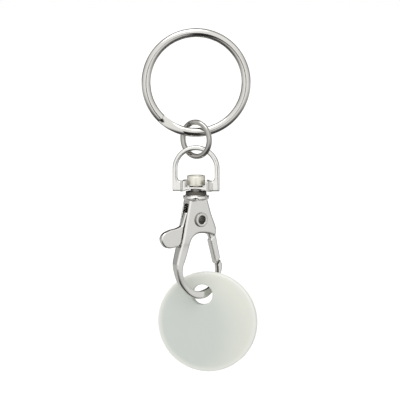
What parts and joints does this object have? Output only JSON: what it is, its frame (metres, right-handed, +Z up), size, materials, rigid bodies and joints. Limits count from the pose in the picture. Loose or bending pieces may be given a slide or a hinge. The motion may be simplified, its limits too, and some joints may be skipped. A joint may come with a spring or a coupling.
{
  "type": "coin holder keyring",
  "caption": "Key ring with a small link ring, a swivel trigger hook and a round shopping-trolley token hung through its hole.",
  "frame": {"origin": "the point at the inner top of the key ring from which the whole keyring hangs", "axes": "+Z up along the hanging chain, -Y towards the side the picture shows, +X to the viewer's right"},
  "size_m": [0.0267, 0.0106, 0.0797],
  "materials": {
    "ring_plate": "bright nickel plate on spring steel wire",
    "casting_plate": "bright chrome plate on a zinc casting",
    "rivet_plate": "bright nickel plate on rolled steel",
    "spring_wire": "plain drawn spring wire",
    "token_plastic": "milky, faintly greenish plastic with a satin surface"
  },
  "bodies": {
    "key_ring": {"split_ring": "ring_plate"},
    "link": {"link_ring": "ring_plate"},
    "eye": {"swivel_eye": "casting_plate"},
    "hook": {"hook_body": "casting_plate", "swivel_post": "rivet_plate", "pivot_rivet": "rivet_plate", "trigger_spring": "spring_wire"},
    "trigger": {"trigger_lever": "casting_plate"},
    "token": {"coin": "token_plastic"}
  },
  "joints": [
    {"name": "link_swing", "type": "hinge", "parent": "key_ring", "child": "link", "pos_m": [0, 0, -0.02192], "axis": [0.9994, 0.0349, 0], "range_deg": [-45, 45]},
    {"name": "eye_swing", "type": "hinge", "parent": "link", "child": "eye", "pos_m": [0, 0, -0.02746], "axis": [0.2588, -0.9659, 0], "range_deg": [-30, 30]},
    {"name": "hook_swivel", "type": "hinge", "parent": "eye", "child": "hook", "pos_m": [0, 0, -0.03552], "axis": [0, 0, 1], "continuous": true},
    {"name": "trigger_press", "type": "hinge", "parent": "hook", "child": "trigger", "pos_m": [0.00028, 0.0002, -0.04202], "axis": [-0.5736, 0.8192, 0], "range_deg": [0, 24], "stiffness_Nm_per_rad": 0.04, "springref_deg": -20.05, "deforming": ["trigger_spring"]},
    {"name": "coin_turn", "type": "hinge", "parent": "hook", "child": "token", "pos_m": [0.00162, 0.00113, -0.05964], "axis": [-0.2079, -0.9781, 0], "range_deg": [-35, 25]}
  ]
}
